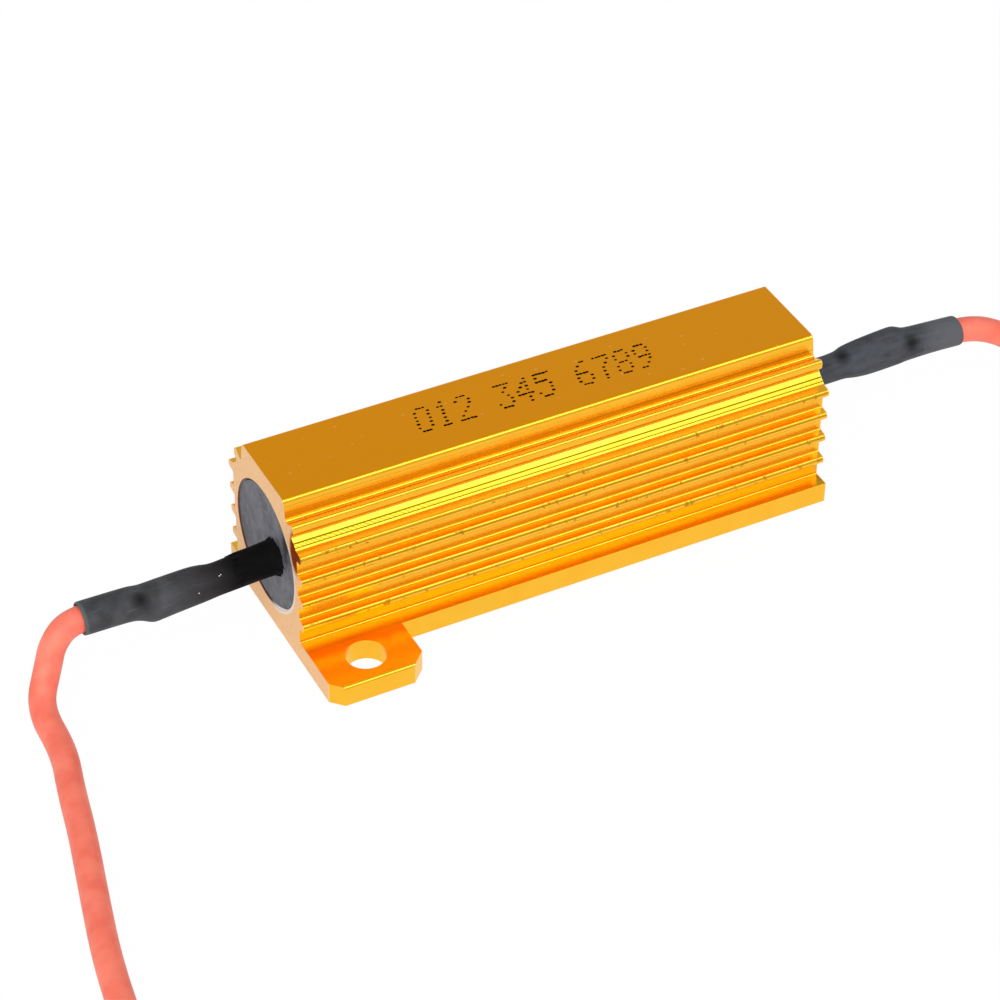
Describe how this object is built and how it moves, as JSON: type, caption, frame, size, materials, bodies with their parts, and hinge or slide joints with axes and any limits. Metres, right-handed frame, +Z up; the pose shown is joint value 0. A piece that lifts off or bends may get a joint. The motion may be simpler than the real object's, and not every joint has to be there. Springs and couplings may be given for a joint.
{
  "type": "resistor",
  "caption": "Wirewound resistor in a finned gold aluminium housing with two screw tabs, and a sleeved flexible lead on each end.",
  "frame": {"origin": "centre of the mounting face, under the middle of the housing", "axes": "+X along the housing and the bore, +Y away from the side with the left-hand screw tab, +Z up from the mounting face"},
  "size_m": [0.1221, 0.0853, 0.0156],
  "materials": {
    "gold_anodised": "satin gold anodised, fine drawing lines",
    "potting": "matte grey silicone cement",
    "ceramic": "matte alumina",
    "resistance_alloy": "dull nickel alloy",
    "plated_steel": "tinned",
    "tinned_copper": "tinned strands",
    "solder": "bright solder",
    "shrink_sleeve": "satin dark grey",
    "silicone_lead": "matte salmon red silicone"
  },
  "bodies": {
    "root": {"housing": "gold_anodised", "filling": "potting", "ceramic_core": "ceramic", "resistance_ribbon": "resistance_alloy", "end_cap_left": "plated_steel", "terminal_left": "plated_steel", "wire_strands_left": "tinned_copper", "solder_joint_left": "solder", "sleeve_left": "shrink_sleeve", "lead_left": "silicone_lead", "lead_coil_left": "silicone_lead", "tinned_tip_left": "tinned_copper", "end_cap_right": "plated_steel", "terminal_right": "plated_steel", "wire_strands_right": "tinned_copper", "solder_joint_right": "solder", "sleeve_right": "shrink_sleeve", "lead_right": "silicone_lead", "lead_coil_right": "silicone_lead", "tinned_tip_right": "tinned_copper"}
  },
  "joints": []
}
